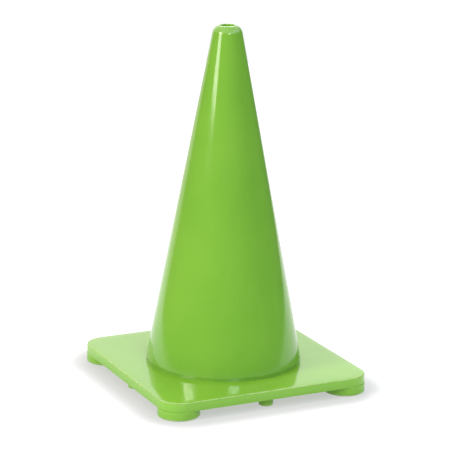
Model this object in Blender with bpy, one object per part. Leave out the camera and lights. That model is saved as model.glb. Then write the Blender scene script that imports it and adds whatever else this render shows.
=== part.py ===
"""Traffic cone: a hollow flexible body captured in a square ballast plate on push-in feet.

Metres, +Z up. The origin is on the floor under the middle of the plate, whose sides lie along
X and Y. Front is -Y and left is -X. Every node is modelled where it sits.
"""

import math

import bmesh
import bpy

# Driving dimensions of the whole object
CONE_HEIGHT = 0.457
BASE_SIDE = 0.283
PLATE_UNDERSIDE = 0.0115
PLATE_THICKNESS = 0.012
CLEARANCE = 0.0003

# Tapered body
WALL_FOOT_RADIUS = 0.1003
WALL_SLOPE = math.radians(10.86)
WALL_THICKNESS = 0.0028
NECK_RADIUS = 0.0985
NECK_HEIGHT = 0.0048
DOME_RADIUS = 0.012
TIP_RIM_RADIUS = 0.0105
TIP_HOLE_RADIUS = 0.009
TIP_THICKNESS = 0.0035
FLANGE_RADIUS = 0.103
FLANGE_THICKNESS = 0.003

# Ballast plate
PLATE_CORNER_RADIUS = 0.028
PLATE_TOP_ROUNDING = 0.0015
PLATE_BOTTOM_ROUNDING = 0.0008

# Corner feet
FOOT_RADIUS = 0.0265
FOOT_ROUNDING = 0.0015
FOOT_RECESS_RADIUS = 0.013
FOOT_RECESS_DEPTH = 0.003
FOOT_RECESS_DRAFT = 0.0006
FOOT_SPIGOT_RADIUS = 0.009

# Mid-edge studs
STUD_RADIUS = 0.0091
STUD_ROUNDING = 0.001
STUD_STEM_RADIUS = 0.0045
STUD_EDGE_DISTANCE = 0.0176

# Spigots of the feet and stems of the studs, and the blind sockets that hold them
PLUG_LENGTH = 0.007
PLUG_CHAMFER = 0.0008

# Mesh fineness
BODY_SEGMENTS = 72
CORNER_SEGMENTS = 9
FOOT_SEGMENTS = 32
STUD_SEGMENTS = 20
DOME_STEPS = 6
ROUNDING_STEPS = 3
SHARP_ANGLE = math.radians(30)
CUTTER_OVERSHOOT = 0.002

# Finish: bright lime PVC, and the plate and its feet a little duller than the body
BODY_COLOUR = (0.200, 0.500, 0.040, 1.0)
BASE_COLOUR = (0.220, 0.500, 0.045, 1.0)
BODY_ROUGHNESS = 0.15
PLATE_ROUGHNESS = 0.22
FOOT_ROUGHNESS = 0.30

PLATE_TOP = PLATE_UNDERSIDE + PLATE_THICKNESS
FOOT_CENTRE = BASE_SIDE / 2 - FOOT_RADIUS
STUD_CENTRE = BASE_SIDE / 2 - STUD_EDGE_DISTANCE

FEET = {
    "foot_front_left": (-FOOT_CENTRE, -FOOT_CENTRE),
    "foot_front_right": (FOOT_CENTRE, -FOOT_CENTRE),
    "foot_rear_right": (FOOT_CENTRE, FOOT_CENTRE),
    "foot_rear_left": (-FOOT_CENTRE, FOOT_CENTRE),
}
STUDS = {
    "edge_stud_front": (0.0, -STUD_CENTRE),
    "edge_stud_right": (STUD_CENTRE, 0.0),
    "edge_stud_rear": (0.0, STUD_CENTRE),
    "edge_stud_left": (-STUD_CENTRE, 0.0),
}


def clear_scene():
    for thing in list(bpy.data.objects):
        bpy.data.objects.remove(thing, do_unlink=True)


def plastic(name, colour, roughness):
    """A moulded plastic material with one colour and one roughness."""
    material = bpy.data.materials.new(name)
    material.use_nodes = True
    shader = material.node_tree.nodes["Principled BSDF"]
    shader.inputs["Base Color"].default_value = colour
    shader.inputs["Roughness"].default_value = roughness
    shader.inputs["Metallic"].default_value = 0.0
    return material


def arc(centre, radius, start, end, steps):
    """Points (r, z) along an arc, both ends included. Angles are measured from +r towards +z."""
    points = []
    for step in range(steps + 1):
        angle = start + (end - start) * step / steps
        points.append((centre[0] + radius * math.cos(angle), centre[1] + radius * math.sin(angle)))
    return points


def circle_loop(radius, z, segments, centre=(0.0, 0.0)):
    """Corner points of a level ring, anticlockwise from above."""
    points = []
    for index in range(segments):
        angle = 2 * math.pi * index / segments
        points.append((centre[0] + radius * math.cos(angle), centre[1] + radius * math.sin(angle), z))
    return points


def rounded_square_loop(side, corner_radius, z):
    """Corner points of a level square with rounded corners, anticlockwise from above."""
    points = []
    reach = side / 2 - corner_radius
    for quarter, (sign_x, sign_y) in enumerate([(1, 1), (-1, 1), (-1, -1), (1, -1)]):
        centre = (sign_x * reach, sign_y * reach)
        start = quarter * math.pi / 2
        corner = arc(centre, corner_radius, start, start + math.pi / 2, CORNER_SEGMENTS)
        points.extend((x, y, z) for x, y in corner)
    return points


def skin(name, loops, material, is_ring=False):
    """A closed mesh over level loops with equal point counts. A ring joins its last loop to its
    first, and anything else gets a cap at each end. The loops run up the outside."""
    mesh = bpy.data.meshes.new(name)
    builder = bmesh.new()
    rows = [[builder.verts.new(point) for point in loop] for loop in loops]
    pairs = list(zip(rows, rows[1:]))
    if is_ring:
        pairs.append((rows[-1], rows[0]))
    else:
        builder.faces.new(reversed(rows[0]))
        builder.faces.new(rows[-1])
    count = len(rows[0])
    for lower, upper in pairs:
        for index in range(count):
            following = (index + 1) % count
            builder.faces.new((lower[index], lower[following], upper[following], upper[index]))
    builder.to_mesh(mesh)
    builder.free()
    mesh.shade_smooth()
    mesh.set_sharp_from_angle(angle=SHARP_ANGLE)
    mesh.materials.append(material)
    thing = bpy.data.objects.new(name, mesh)
    bpy.context.scene.collection.objects.link(thing)
    return thing


def turned(name, profile, segments, material, centre=(0.0, 0.0), is_ring=False):
    """A turned solid whose profile of (r, z) points runs up the outside."""
    loops = [circle_loop(radius, z, segments, centre) for radius, z in profile]
    return skin(name, loops, material, is_ring)


def cut(target, cutter):
    """Takes the cutter out of the target with a live Boolean, and hides the cutter."""
    cutter.hide_render = True
    cutter.display_type = "WIRE"
    boolean = target.modifiers.new("Cut by " + cutter.name, "BOOLEAN")
    boolean.operation = "DIFFERENCE"
    boolean.solver = "EXACT"
    boolean.object = cutter


def wall_radius(z, inset=0.0):
    """Radius of the taper at a height, on the outside or that far inside it."""
    slope_drop = (z - PLATE_TOP) * math.tan(WALL_SLOPE)
    return WALL_FOOT_RADIUS - slope_drop - inset / math.cos(WALL_SLOPE)


def dome_centre():
    """Centre of the tip's rounding, which leaves the taper smoothly and ends at the flat rim."""
    start_r = wall_radius(PLATE_TOP, DOME_RADIUS)
    along_r = -math.sin(WALL_SLOPE)
    along_z = math.cos(WALL_SLOPE)
    offset_r = start_r - TIP_RIM_RADIUS
    offset_z = PLATE_TOP - CONE_HEIGHT
    half_b = offset_r * along_r + offset_z * along_z
    c = offset_r ** 2 + offset_z ** 2 - DOME_RADIUS ** 2
    travel = -half_b - math.sqrt(half_b ** 2 - c)
    return (start_r + travel * along_r, PLATE_TOP + travel * along_z)


def body_profile():
    """The body's wall as a closed outline: up the outside, through the tip hole, down the inside."""
    flange_top = PLATE_UNDERSIDE + FLANGE_THICKNESS
    neck_top = PLATE_TOP + NECK_HEIGHT
    bore_radius = NECK_RADIUS - WALL_THICKNESS
    bore_spread = wall_radius(PLATE_TOP, WALL_THICKNESS) - bore_radius
    bore_top = PLATE_TOP + bore_spread / math.tan(WALL_SLOPE)

    flange = [
        (bore_radius, PLATE_UNDERSIDE),
        (FLANGE_RADIUS, PLATE_UNDERSIDE),
        (FLANGE_RADIUS, flange_top),
        (NECK_RADIUS, flange_top),
    ]
    neck = [(NECK_RADIUS, PLATE_TOP), (wall_radius(neck_top), neck_top)]

    centre = dome_centre()
    rim_angle = math.atan2(CONE_HEIGHT - centre[1], TIP_RIM_RADIUS - centre[0])
    dome = arc(centre, DOME_RADIUS, WALL_SLOPE, rim_angle, DOME_STEPS)
    ceiling = CONE_HEIGHT - TIP_THICKNESS
    hole = [(TIP_HOLE_RADIUS, CONE_HEIGHT), (TIP_HOLE_RADIUS, ceiling)]
    inner_radius = DOME_RADIUS - WALL_THICKNESS
    ceiling_angle = math.asin((ceiling - centre[1]) / inner_radius)
    inner_dome = arc(centre, inner_radius, ceiling_angle, WALL_SLOPE, DOME_STEPS)
    return flange + neck + dome + hole + inner_dome + [(bore_radius, bore_top)]


def plate_loops():
    """Level outlines of the plate from its underside to its top face, with both edges rounded."""
    outlines = []
    bottom_centre = PLATE_UNDERSIDE + PLATE_BOTTOM_ROUNDING
    for inset, z in arc((0.0, bottom_centre), PLATE_BOTTOM_ROUNDING, -math.pi / 2, 0.0, ROUNDING_STEPS):
        outlines.append((PLATE_BOTTOM_ROUNDING - inset, z))
    top_centre = PLATE_TOP - PLATE_TOP_ROUNDING
    for inset, z in arc((0.0, top_centre), PLATE_TOP_ROUNDING, 0.0, math.pi / 2, ROUNDING_STEPS):
        outlines.append((PLATE_TOP_ROUNDING - inset, z))
    return [
        rounded_square_loop(BASE_SIDE - 2 * inset, PLATE_CORNER_RADIUS - inset, z)
        for inset, z in outlines
    ]


def plug_profile(radius):
    """The part of a foot or stud that goes up into the plate, from its shoulder to its end."""
    shoulder = PLATE_UNDERSIDE - CLEARANCE
    end = PLATE_UNDERSIDE + PLUG_LENGTH
    return [(radius, shoulder), (radius, end - PLUG_CHAMFER), (radius - PLUG_CHAMFER, end)]


def foot_profile():
    """A disc with a rounded lower edge, a shallow recess underneath and a spigot on top."""
    recess = [
        (FOOT_RECESS_RADIUS - FOOT_RECESS_DRAFT, FOOT_RECESS_DEPTH),
        (FOOT_RECESS_RADIUS, 0.0),
    ]
    rounding_centre = (FOOT_RADIUS - FOOT_ROUNDING, FOOT_ROUNDING)
    rounding = arc(rounding_centre, FOOT_ROUNDING, -math.pi / 2, 0.0, ROUNDING_STEPS)
    shoulder = [(FOOT_RADIUS, PLATE_UNDERSIDE - CLEARANCE)]
    return recess + rounding + shoulder + plug_profile(FOOT_SPIGOT_RADIUS)


def stud_profile():
    """A short pillar with a rounded lower edge and a stem on top."""
    rounding_centre = (STUD_RADIUS - STUD_ROUNDING, STUD_ROUNDING)
    rounding = arc(rounding_centre, STUD_ROUNDING, -math.pi / 2, 0.0, ROUNDING_STEPS)
    shoulder = [(STUD_RADIUS, PLATE_UNDERSIDE - CLEARANCE)]
    return rounding + shoulder + plug_profile(STUD_STEM_RADIUS)


def socket_cutter(name, plug_radius, segments, centre, material):
    """A blind socket round a plug, with clearance at its side and its end."""
    radius = plug_radius + CLEARANCE
    end = PLATE_UNDERSIDE + PLUG_LENGTH + CLEARANCE
    profile = [(radius, PLATE_UNDERSIDE - CUTTER_OVERSHOOT), (radius, end)]
    return turned(name + "_socket_cutter", profile, segments, material, centre)


def opening_cutter(material):
    """The round opening for the body, with the wider rebate for its flange at the bottom."""
    opening_radius = NECK_RADIUS + CLEARANCE
    rebate_radius = FLANGE_RADIUS + CLEARANCE
    rebate_top = PLATE_UNDERSIDE + FLANGE_THICKNESS + CLEARANCE
    profile = [
        (rebate_radius, PLATE_UNDERSIDE - CUTTER_OVERSHOOT),
        (rebate_radius, rebate_top),
        (opening_radius, rebate_top),
        (opening_radius, PLATE_TOP + CUTTER_OVERSHOOT),
    ]
    return turned("opening_cutter", profile, BODY_SEGMENTS, material)


def make_base_plate():
    material = plastic("base_plate", BASE_COLOUR, PLATE_ROUGHNESS)
    plate = skin("base_plate", plate_loops(), material)
    cut(plate, opening_cutter(material))
    for name, centre in FEET.items():
        cut(plate, socket_cutter(name, FOOT_SPIGOT_RADIUS, FOOT_SEGMENTS, centre, material))
    for name, centre in STUDS.items():
        cut(plate, socket_cutter(name, STUD_STEM_RADIUS, STUD_SEGMENTS, centre, material))


def make_cone_body():
    material = plastic("cone_body", BODY_COLOUR, BODY_ROUGHNESS)
    turned("cone_body", body_profile(), BODY_SEGMENTS, material, is_ring=True)


def make_feet_and_studs():
    for name, centre in FEET.items():
        material = plastic(name, BASE_COLOUR, FOOT_ROUGHNESS)
        turned(name, foot_profile(), FOOT_SEGMENTS, material, centre)
    for name, centre in STUDS.items():
        material = plastic(name, BASE_COLOUR, FOOT_ROUGHNESS)
        turned(name, stud_profile(), STUD_SEGMENTS, material, centre)


clear_scene()
make_cone_body()
make_base_plate()
make_feet_and_studs()
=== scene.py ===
"""Traffic cone: fine meshes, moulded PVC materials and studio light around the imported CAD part.

Lengths are in metres and +Z is up, in the CAD's own frame. Each piece takes its place and its outer
size from the box of the CAD node that it replaces. The small dimensions below follow the CAD part's.
"""

import math

import bmesh
import bpy
from mathutils import Matrix, Vector, noise


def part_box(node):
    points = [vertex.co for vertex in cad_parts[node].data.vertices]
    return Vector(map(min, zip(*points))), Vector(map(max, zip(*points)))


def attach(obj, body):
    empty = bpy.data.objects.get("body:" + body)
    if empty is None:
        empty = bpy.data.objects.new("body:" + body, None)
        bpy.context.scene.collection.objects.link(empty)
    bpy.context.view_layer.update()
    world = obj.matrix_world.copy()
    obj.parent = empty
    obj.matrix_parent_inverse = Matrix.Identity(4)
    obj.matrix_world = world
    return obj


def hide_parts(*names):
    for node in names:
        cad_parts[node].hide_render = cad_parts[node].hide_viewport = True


# Tapered body
WALL_FOOT_RADIUS = 0.1003
WALL_SLOPE = math.radians(10.86)
WALL_THICKNESS = 0.0028
WALL_STEP = 0.006
WALL_WAVINESS = 0.00012
WAVE_LENGTH = 0.07
NECK_RADIUS = 0.0985
NECK_HEIGHT = 0.0048
NECK_ROUNDING = 0.0012
FLANGE_THICKNESS = 0.003
FLANGE_ROUNDING = 0.0008
DOME_RADIUS = 0.012
TIP_RIM_RADIUS = 0.0105
TIP_HOLE_RADIUS = 0.009
TIP_THICKNESS = 0.0035
TIP_EDGE_ROUNDING = 0.0005

# Plate
PLATE_CORNER_RADIUS = 0.028
PLATE_TOP_ROUNDING = 0.0015
PLATE_BOTTOM_ROUNDING = 0.00015
OPENING_ROUNDING = 0.0001

# Feet and studs
FEET = ["foot_front_left", "foot_front_right", "foot_rear_right", "foot_rear_left"]
FOOT_ROUNDING = 0.0015
FOOT_RECESS_RADIUS = 0.013
FOOT_RECESS_DEPTH = 0.003
FOOT_RECESS_DRAFT = 0.0006
FOOT_RECESS_ROUNDING = 0.0005
FOOT_SPIGOT_RADIUS = 0.009
STUDS = ["edge_stud_front", "edge_stud_right", "edge_stud_rear", "edge_stud_left"]
STUD_ROUNDING = 0.001
STUD_STEM_RADIUS = 0.0045
PLUG_CHAMFER = 0.0008

# Gaps between pieces: in hidden sockets, and where two pieces are seen to meet
CLEARANCE = 0.0003
SEAM = 0.00003

# Mesh fineness
BODY_SEGMENTS = 256
FOOT_SEGMENTS = 96
STUD_SEGMENTS = 64
CORNER_STEPS = 24
SIDE_STEPS = 24
FILLET_STEPS = 6
LARGE_ARC_STEPS = 20
PLATE_FACE_STEPS = 5
SHARP_ANGLE = math.radians(40)
CUTTER_OVERSHOOT = 0.002

# How much longer a pattern is along x, y and z
FLOW_DOWN = (1.0, 1.0, 16.0)
FLOW_ACROSS = (1.0, 3.0, 1.0)
SCRATCH_DOWN = (1.0, 1.0, 60.0)
SCRATCH_LENGTHWISE = (50.0, 1.0, 1.0)
SCRATCH_CROSSWISE = (1.0, 50.0, 1.0)

# The three PVC materials. Colours are linear. Paleness and dullness are what full wear does to the
# colour and the roughness; on rounded edges the paleness is partly wear and partly a painted edge
# highlight.
# Wear is the amount top on a flat top, and the amount ground underneath and below the ground height.
BODY_PVC = {
    "colour": (0.171, 0.402, 0.039),
    "roughness": 0.12,
    "flow": FLOW_DOWN,
    "scratch_directions": [SCRATCH_DOWN],
    "scratch_amount": 0.6,
    "paleness": 0.14,
    "dullness": 0.15,
    "top": 1.0,
    "ground": 0.5,
    "ground_height": 0.04,
}
PLATE_PVC = {
    "colour": (0.194, 0.415, 0.035),
    "roughness": 0.09,
    "flow": FLOW_ACROSS,
    "scratch_directions": [SCRATCH_LENGTHWISE, SCRATCH_CROSSWISE],
    "scratch_amount": 0.8,
    "paleness": 0.5,
    "dullness": 0.3,
    "top": 0.0,
    "ground": 0.4,
    "ground_height": 0.0125,
}
# The feet and studs are coloured lighter than the plate: painted light for the bright floor beside
# them.
FOOT_PVC = {
    "colour": (0.215, 0.450, 0.045),
    "roughness": 0.12,
    "flow": FLOW_ACROSS,
    "scratch_directions": [SCRATCH_LENGTHWISE, SCRATCH_CROSSWISE],
    "scratch_amount": 1.0,
    "paleness": 0.45,
    "dullness": 0.3,
    "top": 0.0,
    "ground": 0.7,
    "ground_height": 0.003,
}
PVC_IOR = 1.5

# Pigment: each pattern's size, the range of its noise that shows, its tint and its strength
CLOUD_SIZE = 0.09
CLOUD_RANGE = (0.3, 0.7)
CLOUD_DARK = (0.94, 0.97, 0.95)
CLOUD_LIGHT = (1.06, 1.03, 1.05)
STREAK_SIZE = 0.012
STREAK_RANGE = (0.45, 0.75)
STREAK_TINT = (1.12, 1.06, 1.1)
STREAK_AMOUNT = 0.3
SPECK_SIZE = 0.0008
SPECK_RANGE = (0.62, 0.74)
SPECK_TINT = (0.84, 0.88, 0.8)
SPECK_AMOUNT = 0.35

# Upright sides of the plate, feet and studs: painted light, a lighter colour standing in for the floor
# light they reflect, and a duller gloss
SIDE_TILT = (0.05, 0.15)
SIDE_PAINTED_LIGHT_COLOUR = (0.20, 0.475, 0.035)
SIDE_PAINTED_LIGHT_AMOUNT = 0.75
SIDE_DULLNESS = 0.06

# Wear: rubbed edges and faces, and hairline scratches. On rounded edges the pale colour is partly wear
# and partly a painted edge highlight. Tilts are the upward part of the surface's normal, which is 0 on
# an upright wall and 1 on a flat top.
RUBBED_AND_EDGE_HIGHLIGHT_COLOUR = (0.5, 0.62, 0.34)
RUB_SIZE = 0.01
RUB_DETAIL = 5.0
RUB_RANGE = (0.36, 0.64)
RUB_AMOUNTS = (0.5, 1.2)
EDGE_TILT = (0.25, 0.45)
FLAT_TILT = (0.88, 0.98)
BELOW_TILT = (-0.9, -0.6)
SCRATCH_WIDTH = 0.0005
SCRATCH_RANGE = (0.68, 0.76)
SCRATCH_PATCH = 0.03
SCRATCH_PATCH_RANGE = (0.5, 0.66)
SCRATCH_PALENESS = 0.15
SCRATCH_DULLNESS = 0.2
SCRATCH_DEPTH = 0.000004

# Gloss and relief
SMUDGE_SIZE = 0.035
SMUDGE_DETAIL = 4.0
SMUDGE_RANGE = (0.3, 0.7)
SMUDGE_FACTORS = (0.88, 1.14)
PEEL_SIZE = 0.0025
PEEL_DEPTH = 0.000005
RIPPLE_SIZE = 0.02
RIPPLE_DEPTH = 0.00004

# Camera
CAMERA_DISTANCE = 2.681
CAMERA_ELEVATION = math.radians(14.905)
CAMERA_AZIMUTH = math.radians(25.71)
CAMERA_ROLL = math.radians(0.752)
CAMERA_AIM_HEIGHT = 0.2003
CAMERA_LENS = 168.6
CAMERA_SENSOR = 36.0
CAMERA_CLIP_END = 100.0

# Light colours
WHITE = (1.0, 1.0, 1.0)
WARM_LIGHT = (1.1, 1.0, 0.92)
COOL_LIGHT = (0.92, 1.0, 1.06)

# Softboxes: azimuth, elevation, width and height in degrees as seen from the cone, radiance, colour.
# The strip is the body's long highlight. The keys are the two patches in the plate's reflection of
# the body. The fill lifts the right side, and the last one lights the plate's top. A softbox's
# energy is its radiance times its area times the energy scale.
SOFTBOX_DISTANCE = 2.0
SOFTBOX_ENERGY_SCALE = 4.0
SOFTBOXES = {
    "left_strip": (-55.5, 23.3, 20.0, 22.6, 7.5, WARM_LIGHT),
    "left_key": (-59.0, 35.0, 14.0, 8.0, 19.0, WARM_LIGHT),
    "right_key": (18.0, 33.5, 13.0, 8.0, 20.0, COOL_LIGHT),
    "right_fill": (80.0, 48.0, 70.0, 30.0, 1.15, COOL_LIGHT),
    "back_overhead": (180.0, 44.0, 20.0, 20.0, 7.0, WHITE),
}

# Room: radiances, and the spans over which ceiling and backdrop brighten, as sines of elevations
# and cosines of angles from the backdrop's middle
ROOM_LIGHT = 0.1
CEILING_LIGHT = 0.62
CEILING_SPAN = (math.sin(math.radians(12)), math.sin(math.radians(28)))
BACKDROP_AZIMUTH = -166.0
BACKDROP_SPAN = (math.cos(math.radians(46)), math.cos(math.radians(34)))
BACKDROP_HEIGHT = math.sin(math.radians(16))
BACKDROP_LIGHTS = (1.05, 1.55)

# Floor: its glow rises with distance from a square inside the plate's, which rounds off the corners.
# The dim glow close to the plate is a painted shadow.
FLOOR_FRONT = 1.2
FLOOR_BACK = 2.2
FLOOR_HALF_WIDTH = 0.7
FLOOR_DROP = 0.0003
FLOOR_COLOUR = (0.22, 0.22, 0.225)
FLOOR_ROUGHNESS = 0.9
FLOOR_SPECULAR = 0.2
FLOOR_SHADOWED_AND_OPEN_GLOWS = (0.49, 1.0)
FLOOR_GLOW_START = 0.008
FLOOR_GLOW_END = 0.05
FLOOR_CORNER_SHARE = 0.3


def arc(centre, radius, start, end, steps):
    """Points (r, z) along an arc, both ends included. Angles are measured from +r towards +z."""
    points = []
    for step in range(steps + 1):
        angle = start + (end - start) * step / steps
        points.append((centre[0] + radius * math.cos(angle), centre[1] + radius * math.sin(angle)))
    return points


def fillet(before, corner, after, radius):
    """Points of the arc that rounds one corner of an outline."""
    corner = Vector(corner)
    to_before = (Vector(before) - corner).normalized()
    to_after = (Vector(after) - corner).normalized()
    half_angle = to_before.angle(to_after) / 2
    centre = corner + (to_before + to_after).normalized() * radius / math.sin(half_angle)
    touch = radius / math.tan(half_angle)
    start = corner + to_before * touch - centre
    end = corner + to_after * touch - centre
    start_angle = math.atan2(start.y, start.x)
    turn = math.remainder(math.atan2(end.y, end.x) - start_angle, 2 * math.pi)
    return arc(centre, radius, start_angle, start_angle + turn, FILLET_STEPS)


def rounded_outline(corners):
    """A closed outline of (r, z) points from corners (r, z, rounding)."""
    points = []
    for index, (r, z, rounding) in enumerate(corners):
        if rounding:
            before = corners[index - 1][:2]
            after = corners[(index + 1) % len(corners)][:2]
            points.extend(fillet(before, (r, z), after, rounding))
        else:
            points.append((r, z))
    return points


def sharp(points):
    """Outline points as corners with no rounding."""
    return [(r, z, 0.0) for r, z in points]


def mesh_object(name, builder):
    """A smooth-shaded object from a bmesh, whose flat faces keep flat normals."""
    mesh = bpy.data.meshes.new(name)
    builder.to_mesh(mesh)
    builder.free()
    mesh.shade_smooth()
    mesh.set_sharp_from_angle(angle=SHARP_ANGLE)
    thing = bpy.data.objects.new(name, mesh)
    bpy.context.scene.collection.objects.link(thing)
    return thing


def skin(name, loops, is_ring):
    """A closed mesh over loops with equal point counts: a ring, or a solid with a cap at each end."""
    builder = bmesh.new()
    rows = [[builder.verts.new(point) for point in loop] for loop in loops]
    pairs = list(zip(rows, rows[1:]))
    if is_ring:
        pairs.append((rows[-1], rows[0]))
    else:
        builder.faces.new(reversed(rows[0]))
        builder.faces.new(rows[-1])
    count = len(rows[0])
    for lower, upper in pairs:
        for index in range(count):
            following = (index + 1) % count
            builder.faces.new((lower[index], lower[following], upper[following], upper[index]))
    return mesh_object(name, builder)


def turned(name, outline, segments, centre=(0.0, 0.0), is_ring=False):
    """A turned solid whose outline of (r, z) points runs up the outside."""
    loops = []
    for radius, z in outline:
        loop = []
        for index in range(segments):
            angle = 2 * math.pi * index / segments
            loop.append((centre[0] + radius * math.cos(angle), centre[1] + radius * math.sin(angle), z))
        loops.append(loop)
    return skin(name, loops, is_ring)


def stepped(start, end):
    """Points from start to end, end excluded, no further apart than the wall step."""
    start = Vector(start)
    end = Vector(end)
    steps = math.ceil((end - start).length / WALL_STEP)
    return [tuple(start.lerp(end, step / steps)) for step in range(steps)]


def body_outline():
    """The body's wall as a closed outline: flange, neck, taper, dome, hole and the inside."""
    lowest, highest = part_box("cone_body")
    plate_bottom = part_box("base_plate")[0].z
    plate_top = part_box("base_plate")[1].z
    flange_radius = highest.x
    top = highest.z

    def wall_radius(z, inset=0.0):
        """The radius at a height of the wall's outside, or of a line inset from it."""
        return WALL_FOOT_RADIUS - (z - plate_top) * math.tan(WALL_SLOPE) - inset / math.cos(WALL_SLOPE)

    flange_top = plate_bottom + FLANGE_THICKNESS
    neck_top = plate_top + NECK_HEIGHT
    bore_radius = NECK_RADIUS - WALL_THICKNESS
    bore_spread = wall_radius(plate_top, WALL_THICKNESS) - bore_radius
    bore_top = (bore_radius, plate_top + bore_spread / math.tan(WALL_SLOPE))
    foot = [
        (bore_radius, lowest.z, FLANGE_ROUNDING),
        (flange_radius, lowest.z, FLANGE_ROUNDING),
        (flange_radius, flange_top, FLANGE_ROUNDING),
        (NECK_RADIUS, flange_top, 0.0),
        (NECK_RADIUS, plate_top, 0.0),
        (wall_radius(neck_top), neck_top, NECK_ROUNDING),
    ]

    # The dome's centre is one dome radius from the rim, on a line one dome radius inside the wall.
    # The rim's place is measured along that line from its foot, and aside from it.
    line_foot = wall_radius(plate_top, DOME_RADIUS)
    across = line_foot - TIP_RIM_RADIUS
    rise = top - plate_top
    along = across * math.sin(WALL_SLOPE) + rise * math.cos(WALL_SLOPE)
    aside = across * math.cos(WALL_SLOPE) - rise * math.sin(WALL_SLOPE)
    travel = along - math.sqrt(DOME_RADIUS ** 2 - aside ** 2)
    dome_centre = (
        line_foot - travel * math.sin(WALL_SLOPE),
        plate_top + travel * math.cos(WALL_SLOPE),
    )
    rim_angle = math.atan2(top - dome_centre[1], TIP_RIM_RADIUS - dome_centre[0])
    dome = arc(dome_centre, DOME_RADIUS, WALL_SLOPE, rim_angle, LARGE_ARC_STEPS)
    wall = stepped((wall_radius(neck_top), neck_top), dome[0])[1:]

    ceiling = top - TIP_THICKNESS
    hole = [
        (TIP_RIM_RADIUS, top, TIP_EDGE_ROUNDING),
        (TIP_HOLE_RADIUS, top, TIP_EDGE_ROUNDING),
        (TIP_HOLE_RADIUS, ceiling, TIP_EDGE_ROUNDING),
    ]
    inner_radius = DOME_RADIUS - WALL_THICKNESS
    ceiling_angle = math.asin((ceiling - dome_centre[1]) / inner_radius)
    inner_dome = arc(dome_centre, inner_radius, ceiling_angle, WALL_SLOPE, LARGE_ARC_STEPS)
    inner_wall = stepped(inner_dome[-1], bore_top)[1:]
    outside = foot + sharp(wall + dome[:-1])
    inside = hole + sharp(inner_dome + inner_wall + [bore_top])
    return rounded_outline(outside + inside)


def make_body():
    """The hollow body, with the slight waviness that a soft moulded wall has."""
    body = turned("body_shell", body_outline(), BODY_SEGMENTS, is_ring=True)
    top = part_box("cone_body")[1].z
    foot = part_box("base_plate")[1].z
    for vertex in body.data.vertices:
        height = (vertex.co.z - foot) / (top - foot)
        if 0.0 < height < 1.0:
            fade = math.sin(math.pi * height)
            outward = Vector((vertex.co.x, vertex.co.y, 0.0)).normalized()
            vertex.co += outward * noise.noise(vertex.co / WAVE_LENGTH) * WALL_WAVINESS * fade
    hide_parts("cone_body")
    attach(body, "root")
    return body


def rounded_square(half_side, corner_radius):
    """Points round a square with rounded corners, anticlockwise, at the same angles for every size."""
    points = []
    reach = half_side - corner_radius
    for quarter in range(4):
        turn = Matrix.Rotation(quarter * math.pi / 2, 2)
        for step in range(SIDE_STEPS):
            points.append(turn @ Vector((half_side, -reach + 2 * reach * step / SIDE_STEPS)))
        for step in range(CORNER_STEPS):
            angle = math.pi / 2 * step / CORNER_STEPS
            offset = Vector((math.cos(angle), math.sin(angle))) * corner_radius
            points.append(turn @ (Vector((reach, reach)) + offset))
    return points


def plate_loops():
    """Loops of the plate: up its side, in over its top face, down its opening and back underneath."""
    lowest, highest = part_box("base_plate")
    half_side = highest.x
    edge = rounded_square(half_side, PLATE_CORNER_RADIUS)
    opening = NECK_RADIUS + SEAM
    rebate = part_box("cone_body")[1].x + CLEARANCE
    rebate_top = lowest.z + FLANGE_THICKNESS + CLEARANCE
    loops = []

    def add_blend(share, inset, radius, z):
        """Add a loop that is the inset edge at share 0 and a circle at share 1."""
        outer = rounded_square(half_side - inset, PLATE_CORNER_RADIUS - inset)
        circle = [point.normalized() * radius for point in edge]
        mixed = [a.lerp(b, share) for a, b in zip(outer, circle)]
        loops.append([(point.x, point.y, z) for point in mixed])

    def add_edge(inset, z):
        """Add a loop that follows the inset edge."""
        add_blend(0.0, inset, opening, z)

    def add_circle(radius, z):
        """Add a circular loop."""
        add_blend(1.0, 0.0, radius, z)

    bottom_centre = (-PLATE_BOTTOM_ROUNDING, lowest.z + PLATE_BOTTOM_ROUNDING)
    for inset, z in arc(bottom_centre, PLATE_BOTTOM_ROUNDING, -math.pi / 2, 0.0, FILLET_STEPS):
        add_edge(-inset, z)
    top_centre = (-PLATE_TOP_ROUNDING, highest.z - PLATE_TOP_ROUNDING)
    for inset, z in arc(top_centre, PLATE_TOP_ROUNDING, 0.0, math.pi / 2, FILLET_STEPS):
        add_edge(-inset, z)
    for step in range(1, PLATE_FACE_STEPS):
        share = step / PLATE_FACE_STEPS
        add_blend(share, PLATE_TOP_ROUNDING, opening + OPENING_ROUNDING, highest.z)
    opening_centre = (opening + OPENING_ROUNDING, highest.z - OPENING_ROUNDING)
    for radius, z in arc(opening_centre, OPENING_ROUNDING, math.pi / 2, math.pi, FILLET_STEPS):
        add_circle(radius, z)
    add_circle(opening, rebate_top)
    add_circle(rebate, rebate_top)
    rebate_centre = (rebate + OPENING_ROUNDING, lowest.z + OPENING_ROUNDING)
    for radius, z in arc(rebate_centre, OPENING_ROUNDING, math.pi, 3 * math.pi / 2, FILLET_STEPS):
        add_circle(radius, z)
    for step in range(1, PLATE_FACE_STEPS):
        share = 1.0 - step / PLATE_FACE_STEPS
        add_blend(share, PLATE_BOTTOM_ROUNDING, rebate + OPENING_ROUNDING, lowest.z)
    return loops


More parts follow.
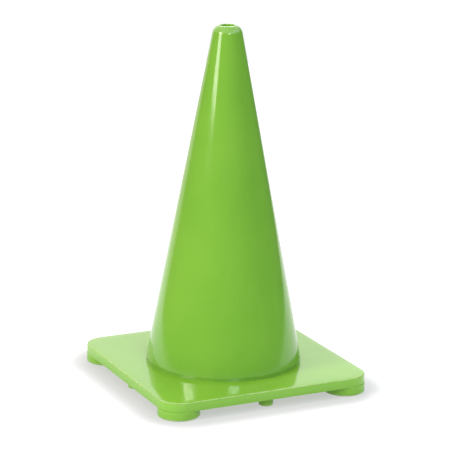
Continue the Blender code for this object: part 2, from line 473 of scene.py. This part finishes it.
def make_plate():
    """The ballast plate, with a blind socket under each foot and stud."""
    plate = skin("ballast_plate", plate_loops(), is_ring=True)
    cutters = []
    for nodes, radius, segments in (
        (FEET, FOOT_SPIGOT_RADIUS, FOOT_SEGMENTS),
        (STUDS, STUD_STEM_RADIUS, STUD_SEGMENTS),
    ):
        for node in nodes:
            lowest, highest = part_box(node)
            centre = (lowest + highest) / 2
            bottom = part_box("base_plate")[0].z - CUTTER_OVERSHOOT
            outline = [(radius + CLEARANCE, bottom), (radius + CLEARANCE, highest.z + CLEARANCE)]
            cutter = turned(node + "_socket_cutter", outline, segments, (centre.x, centre.y))
            cutters.append(cutter)
            boolean = plate.modifiers.new(cutter.name, "BOOLEAN")
            boolean.operation = "DIFFERENCE"
            boolean.solver = "EXACT"
            boolean.object = cutter
    scene_state = bpy.context.evaluated_depsgraph_get()
    finished = bpy.data.meshes.new_from_object(plate.evaluated_get(scene_state))
    plate.modifiers.clear()
    plate.data = finished
    for cutter in cutters:
        bpy.data.objects.remove(cutter)
    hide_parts("base_plate")
    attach(plate, "root")
    return plate


def plug_corners(radius, shoulder_z, end_z):
    """The part of a foot or stud that goes up into the plate, from its shoulder to its end."""
    return sharp([(radius, shoulder_z), (radius, end_z - PLUG_CHAMFER), (radius - PLUG_CHAMFER, end_z)])


def make_foot(node):
    """A disc foot with a rounded lower edge, a shallow recess underneath and a spigot on top."""
    lowest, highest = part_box(node)
    centre = (lowest + highest) / 2
    radius = (highest.x - lowest.x) / 2
    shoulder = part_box("base_plate")[0].z - SEAM
    recess_top = lowest.z + FOOT_RECESS_DEPTH
    corners = [
        (0.0, recess_top, 0.0),
        (FOOT_RECESS_RADIUS - FOOT_RECESS_DRAFT, recess_top, FOOT_RECESS_ROUNDING),
        (FOOT_RECESS_RADIUS, lowest.z, FOOT_RECESS_ROUNDING),
        (radius, lowest.z, FOOT_ROUNDING),
        (radius, shoulder, 0.0),
    ] + plug_corners(FOOT_SPIGOT_RADIUS, shoulder, highest.z)
    outline = rounded_outline(corners)[1:]
    foot = turned(node.replace("foot", "disc_foot"), outline, FOOT_SEGMENTS, (centre.x, centre.y))
    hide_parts(node)
    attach(foot, "root")
    return foot


def make_stud(node):
    """A short pillar with a rounded lower edge and a stem on top."""
    lowest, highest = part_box(node)
    centre = (lowest + highest) / 2
    radius = (highest.x - lowest.x) / 2
    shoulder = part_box("base_plate")[0].z - SEAM
    corners = [
        (0.0, lowest.z, 0.0),
        (radius, lowest.z, STUD_ROUNDING),
        (radius, shoulder, 0.0),
    ] + plug_corners(STUD_STEM_RADIUS, shoulder, highest.z)
    outline = rounded_outline(corners)[1:]
    stud = turned(node.replace("edge", "round"), outline, STUD_SEGMENTS, (centre.x, centre.y))
    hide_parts(node)
    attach(stud, "root")
    return stud


def make_camera():
    """The camera, aimed at a point on the cone's axis from its azimuth and elevation."""
    flat = math.cos(CAMERA_ELEVATION)
    view = Vector((
        math.sin(CAMERA_AZIMUTH) * flat,
        math.cos(CAMERA_AZIMUTH) * flat,
        -math.sin(CAMERA_ELEVATION),
    ))
    camera = bpy.data.objects.new("camera", bpy.data.cameras.new("camera"))
    bpy.context.scene.collection.objects.link(camera)
    turn = view.to_track_quat("-Z", "Y").to_matrix() @ Matrix.Rotation(CAMERA_ROLL, 3, "Z")
    place = Vector((0.0, 0.0, CAMERA_AIM_HEIGHT)) - view * CAMERA_DISTANCE
    camera.matrix_world = Matrix.Translation(place) @ turn.to_4x4()
    camera.data.lens = CAMERA_LENS
    camera.data.sensor_width = CAMERA_SENSOR
    camera.data.clip_end = CAMERA_CLIP_END
    bpy.context.scene.camera = camera


def add_node(tree, kind, inputs, **settings):
    """A node with its settings made and its inputs set or linked."""
    node = tree.nodes.new(kind)
    for name, value in settings.items():
        setattr(node, name, value)
    for name, value in inputs.items():
        if isinstance(value, bpy.types.NodeSocket):
            tree.links.new(value, node.inputs[name])
        else:
            node.inputs[name].default_value = value
    return node


def vector_math(tree, operation, *values):
    """The outputs of a vector calculation on sockets or plain vectors."""
    return add_node(tree, "ShaderNodeVectorMath", dict(enumerate(values)), operation=operation).outputs


def grain(tree, place, size, stretch=(1.0, 1.0, 1.0), detail=2.0):
    """Noise from 0 to 1 with features of the given size in metres, longer along stretched axes."""
    squeeze = tuple(1.0 / (size * along) for along in stretch)
    scaled = vector_math(tree, "MULTIPLY", place, squeeze)["Vector"]
    inputs = {"Vector": scaled, "Scale": 1.0, "Detail": detail}
    return add_node(tree, "ShaderNodeTexNoise", inputs).outputs["Fac"]


def spread(tree, value, start, end, low=0.0, high=1.0):
    """A smooth step from low to high as the value goes from start to end."""
    step = add_node(tree, "ShaderNodeMapRange", {
        "Value": value,
        "From Min": start,
        "From Max": end,
        "To Min": low,
        "To Max": high,
    }, interpolation_type="SMOOTHSTEP")
    return step.outputs["Result"]


def calculate(tree, operation, first, second):
    """The result of a calculation on two numbers or sockets."""
    return add_node(tree, "ShaderNodeMath", {0: first, 1: second}, operation=operation).outputs["Value"]


def blend(tree, share, first, second):
    """A colour that is the first at share 0 and the second at share 1."""
    return add_node(tree, "ShaderNodeMix", {0: share, 6: first, 7: second}, data_type="RGBA").outputs[2]


def opaque(colour):
    """A colour with an alpha of 1."""
    return (*colour, 1.0)


def tinted(colour, tint):
    """A colour multiplied by a tint."""
    return opaque(part * factor for part, factor in zip(colour, tint))


def scratches(tree, place, directions, amount):
    """Patches of hairline scratches in each of the directions, from 0 to amount."""
    patches = spread(tree, grain(tree, place, SCRATCH_PATCH), *SCRATCH_PATCH_RANGE, 0.0, amount)
    marks = 0.0
    for direction in directions:
        lines = spread(tree, grain(tree, place, SCRATCH_WIDTH, direction, detail=0.0), *SCRATCH_RANGE)
        marks = calculate(tree, "MAXIMUM", marks, lines)
    return calculate(tree, "MULTIPLY", marks, patches)


def rubbing_and_edge_highlight(tree, place, upward, top, ground, ground_height):
    """How rubbed the surface is: 1 on rounded edges, where its paleness is partly a painted edge
    highlight, and as given on top, low down and underneath.
    """
    tilt = calculate(tree, "ABSOLUTE", upward, 0.0)
    # Rounded edges: their paleness is partly wear and partly a painted edge highlight
    tilted = spread(tree, tilt, *EDGE_TILT)
    not_flat = spread(tree, tilt, *FLAT_TILT, 1.0, 0.0)
    most = calculate(tree, "MULTIPLY", tilted, not_flat)
    flat_top = spread(tree, upward, *FLAT_TILT, 0.0, top)
    height = add_node(tree, "ShaderNodeSeparateXYZ", {"Vector": place}).outputs["Z"]
    low = spread(tree, height, ground_height / 2, ground_height, ground, 0.0)
    below = spread(tree, upward, *BELOW_TILT, ground, 0.0)
    for share in (flat_top, low, below):
        most = calculate(tree, "MAXIMUM", most, share)
    patches = spread(tree, grain(tree, place, RUB_SIZE, detail=RUB_DETAIL), *RUB_RANGE, *RUB_AMOUNTS)
    return calculate(tree, "MULTIPLY", most, patches)


def pigment(tree, place, colour, flow):
    """The colour of clean PVC: clouded, streaked along its flow and finely specked."""
    clouds = spread(tree, grain(tree, place, CLOUD_SIZE), *CLOUD_RANGE)
    shade = blend(tree, clouds, tinted(colour, CLOUD_DARK), tinted(colour, CLOUD_LIGHT))
    streaks = spread(tree, grain(tree, place, STREAK_SIZE, flow), *STREAK_RANGE, 0.0, STREAK_AMOUNT)
    shade = blend(tree, streaks, shade, tinted(colour, STREAK_TINT))
    specks = spread(tree, grain(tree, place, SPECK_SIZE), *SPECK_RANGE, 0.0, SPECK_AMOUNT)
    return blend(tree, specks, shade, tinted(colour, SPECK_TINT))


def relief(tree, place, flow, marks):
    """The bumped normal of the surface: orange peel, ripples along the flow and scratches."""
    peel = calculate(tree, "MULTIPLY", grain(tree, place, PEEL_SIZE), PEEL_DEPTH)
    ripple = calculate(tree, "MULTIPLY", grain(tree, place, RIPPLE_SIZE, flow), RIPPLE_DEPTH)
    cuts = calculate(tree, "MULTIPLY", marks, SCRATCH_DEPTH)
    height = calculate(tree, "SUBTRACT", calculate(tree, "ADD", peel, ripple), cuts)
    bump = add_node(tree, "ShaderNodeBump", {"Height": height, "Distance": 1.0, "Strength": 1.0})
    return bump.outputs["Normal"]


def pvc(name, colour, roughness, flow, scratch_directions, scratch_amount, paleness, dullness, **wear):
    """Glossy moulded PVC with hairline scratches, rubbed edges that also carry a painted edge
    highlight, and upright sides lightened as painted light.
    """
    material = bpy.data.materials.new(name)
    material.use_nodes = True
    tree = material.node_tree
    shader = tree.nodes["Principled BSDF"]
    place = add_node(tree, "ShaderNodeTexCoord", {}).outputs["Object"]
    normal = add_node(tree, "ShaderNodeNewGeometry", {}).outputs["Normal"]
    upward = add_node(tree, "ShaderNodeSeparateXYZ", {"Vector": normal}).outputs["Z"]
    upright = spread(tree, calculate(tree, "ABSOLUTE", upward, 0.0), *SIDE_TILT, 1.0, 0.0)
    marks = scratches(tree, place, scratch_directions, scratch_amount)
    worn_and_edge_highlight = rubbing_and_edge_highlight(tree, place, upward, **wear)

    shade = pigment(tree, place, colour, flow)
    # Painted light: upright sides lightened for the floor light they reflect. Rubbed edges: partly
    # wear, partly a painted edge highlight.
    for share, amount, other in (
        (upright, SIDE_PAINTED_LIGHT_AMOUNT, SIDE_PAINTED_LIGHT_COLOUR),
        (worn_and_edge_highlight, paleness, RUBBED_AND_EDGE_HIGHLIGHT_COLOUR),
        (marks, SCRATCH_PALENESS, RUBBED_AND_EDGE_HIGHLIGHT_COLOUR),
    ):
        shade = blend(tree, calculate(tree, "MULTIPLY", share, amount), shade, opaque(other))

    smudges = grain(tree, place, SMUDGE_SIZE, detail=SMUDGE_DETAIL)
    gloss = spread(tree, smudges, *SMUDGE_RANGE, *(roughness * factor for factor in SMUDGE_FACTORS))
    for share, amount in ((marks, SCRATCH_DULLNESS), (upright, SIDE_DULLNESS), (worn_and_edge_highlight, dullness)):
        gloss = calculate(tree, "ADD", gloss, calculate(tree, "MULTIPLY", share, amount))

    tree.links.new(shade, shader.inputs["Base Color"])
    tree.links.new(gloss, shader.inputs["Roughness"])
    tree.links.new(relief(tree, place, flow, marks), shader.inputs["Normal"])
    shader.inputs["IOR"].default_value = PVC_IOR
    return material


def studio_direction(azimuth, elevation):
    """A direction from the cone: azimuth 0 is towards the camera, and positive to its right."""
    turn = CAMERA_AZIMUTH + math.pi - math.radians(azimuth)
    flat = math.cos(math.radians(elevation))
    return Vector((math.sin(turn) * flat, math.cos(turn) * flat, math.sin(math.radians(elevation))))


def floor_glow_with_painted_shadow(tree):
    """How brightly the floor glows: dimmer beside the plate, which paints its shadow there."""
    half_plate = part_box("base_plate")[1].x
    corner = half_plate * FLOOR_CORNER_SHARE
    square = (half_plate - corner, half_plate - corner, 0.0)
    place = add_node(tree, "ShaderNodeNewGeometry", {}).outputs["Position"]
    one_quarter = vector_math(tree, "ABSOLUTE", place)["Vector"]
    past_square = vector_math(tree, "SUBTRACT", one_quarter, square)["Vector"]
    outside = vector_math(tree, "MAXIMUM", past_square, (0.0, 0.0, 0.0))["Vector"]
    distance = vector_math(tree, "LENGTH", outside)["Value"]
    return spread(tree, distance, FLOOR_GLOW_START + corner, FLOOR_GLOW_END + corner, *FLOOR_SHADOWED_AND_OPEN_GLOWS)


def make_floor():
    """A pale sweep, longer behind the cone than in front, that glows, with a painted shadow beside the
    plate, and is clear from below.
    """
    towards = studio_direction(0.0, 0.0)
    across = studio_direction(90.0, 0.0)
    builder = bmesh.new()
    for forward, side in (
        (FLOOR_FRONT, -FLOOR_HALF_WIDTH),
        (FLOOR_FRONT, FLOOR_HALF_WIDTH),
        (-FLOOR_BACK, FLOOR_HALF_WIDTH),
        (-FLOOR_BACK, -FLOOR_HALF_WIDTH),
    ):
        builder.verts.new(towards * forward + across * side - Vector((0.0, 0.0, FLOOR_DROP)))
    builder.faces.new(builder.verts)
    floor = mesh_object("floor", builder)

    material = bpy.data.materials.new("floor")
    material.use_nodes = True
    tree = material.node_tree
    shader = tree.nodes["Principled BSDF"]
    shader.inputs["Base Color"].default_value = opaque(FLOOR_COLOUR)
    shader.inputs["Roughness"].default_value = FLOOR_ROUGHNESS
    shader.inputs["Specular IOR Level"].default_value = FLOOR_SPECULAR
    shader.inputs["Emission Color"].default_value = opaque(WHITE)
    tree.links.new(floor_glow_with_painted_shadow(tree), shader.inputs["Emission Strength"])
    surface = add_node(tree, "ShaderNodeMixShader", {
        0: add_node(tree, "ShaderNodeNewGeometry", {}).outputs["Backfacing"],
        1: shader.outputs["BSDF"],
        2: add_node(tree, "ShaderNodeBsdfTransparent", {}).outputs["BSDF"],
    })
    tree.links.new(surface.outputs["Shader"], tree.nodes["Material Output"].inputs["Surface"])
    floor.data.materials.append(material)


def make_softbox(name, azimuth, elevation, width, height, radiance, colour):
    """A rectangular light that faces the cone and isn't seen by the camera."""
    light = bpy.data.lights.new(name, "AREA")
    light.shape = "RECTANGLE"
    light.size = 2 * SOFTBOX_DISTANCE * math.tan(math.radians(width) / 2)
    light.size_y = 2 * SOFTBOX_DISTANCE * math.tan(math.radians(height) / 2)
    light.energy = radiance * light.size * light.size_y * SOFTBOX_ENERGY_SCALE
    light.color = colour
    softbox = bpy.data.objects.new(name, light)
    outward = studio_direction(azimuth, elevation)
    place = Vector((0.0, 0.0, CAMERA_AIM_HEIGHT)) + outward * SOFTBOX_DISTANCE
    turn = (-outward).to_track_quat("-Z", "Y").to_matrix().to_4x4()
    softbox.matrix_world = Matrix.Translation(place) @ turn
    softbox.visible_camera = False
    bpy.context.scene.collection.objects.link(softbox)


def make_world():
    """A dark room with a soft ceiling and a bright backdrop, warm to the left, cool to the right."""
    world = bpy.data.worlds.new("studio")
    world.use_nodes = True
    tree = world.node_tree
    view = add_node(tree, "ShaderNodeTexCoord", {}).outputs["Generated"]

    def facing(direction):
        """How far the view looks in a direction, from -1 to 1."""
        return vector_math(tree, "DOT_PRODUCT", view, direction)["Value"]

    height = facing((0.0, 0.0, 1.0))
    ceiling = spread(tree, height, *CEILING_SPAN, ROOM_LIGHT, CEILING_LIGHT)
    behind = spread(tree, facing(studio_direction(BACKDROP_AZIMUTH, 0.0)), *BACKDROP_SPAN)
    backdrop_light = spread(tree, height, 0.0, BACKDROP_HEIGHT, *BACKDROP_LIGHTS)
    backdrop = calculate(tree, "MULTIPLY", behind, backdrop_light)
    rightward = spread(tree, facing(studio_direction(90.0, 0.0)), -1.0, 1.0)

    room = tree.nodes["Background"]
    tint = blend(tree, rightward, opaque(WARM_LIGHT), opaque(COOL_LIGHT))
    tree.links.new(tint, room.inputs["Color"])
    tree.links.new(calculate(tree, "MAXIMUM", ceiling, backdrop), room.inputs["Strength"])
    shown = add_node(tree, "ShaderNodeMixShader", {
        0: add_node(tree, "ShaderNodeLightPath", {}).outputs["Is Camera Ray"],
        1: room.outputs["Background"],
        2: add_node(tree, "ShaderNodeBackground", {"Color": opaque(WHITE)}).outputs["Background"],
    })
    tree.links.new(shown.outputs["Shader"], tree.nodes["World Output"].inputs["Surface"])
    bpy.context.scene.world = world


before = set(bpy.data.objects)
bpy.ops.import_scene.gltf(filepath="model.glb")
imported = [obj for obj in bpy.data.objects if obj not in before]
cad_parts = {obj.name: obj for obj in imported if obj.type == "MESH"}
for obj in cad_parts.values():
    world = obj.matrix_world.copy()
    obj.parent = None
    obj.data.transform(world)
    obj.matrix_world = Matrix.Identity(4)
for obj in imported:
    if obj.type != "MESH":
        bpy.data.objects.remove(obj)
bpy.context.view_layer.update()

body = make_body()
plate = make_plate()
feet = [make_foot(node) for node in FEET]
studs = [make_stud(node) for node in STUDS]
body.data.materials.append(pvc("body_pvc", **BODY_PVC))
plate.data.materials.append(pvc("plate_pvc", **PLATE_PVC))
foot_material = pvc("foot_pvc", **FOOT_PVC)
for piece in feet + studs:
    piece.data.materials.append(foot_material)

make_camera()
make_floor()
make_world()
for name, settings in SOFTBOXES.items():
    make_softbox(name, *settings)
bpy.context.scene.view_settings.view_transform = "Standard"
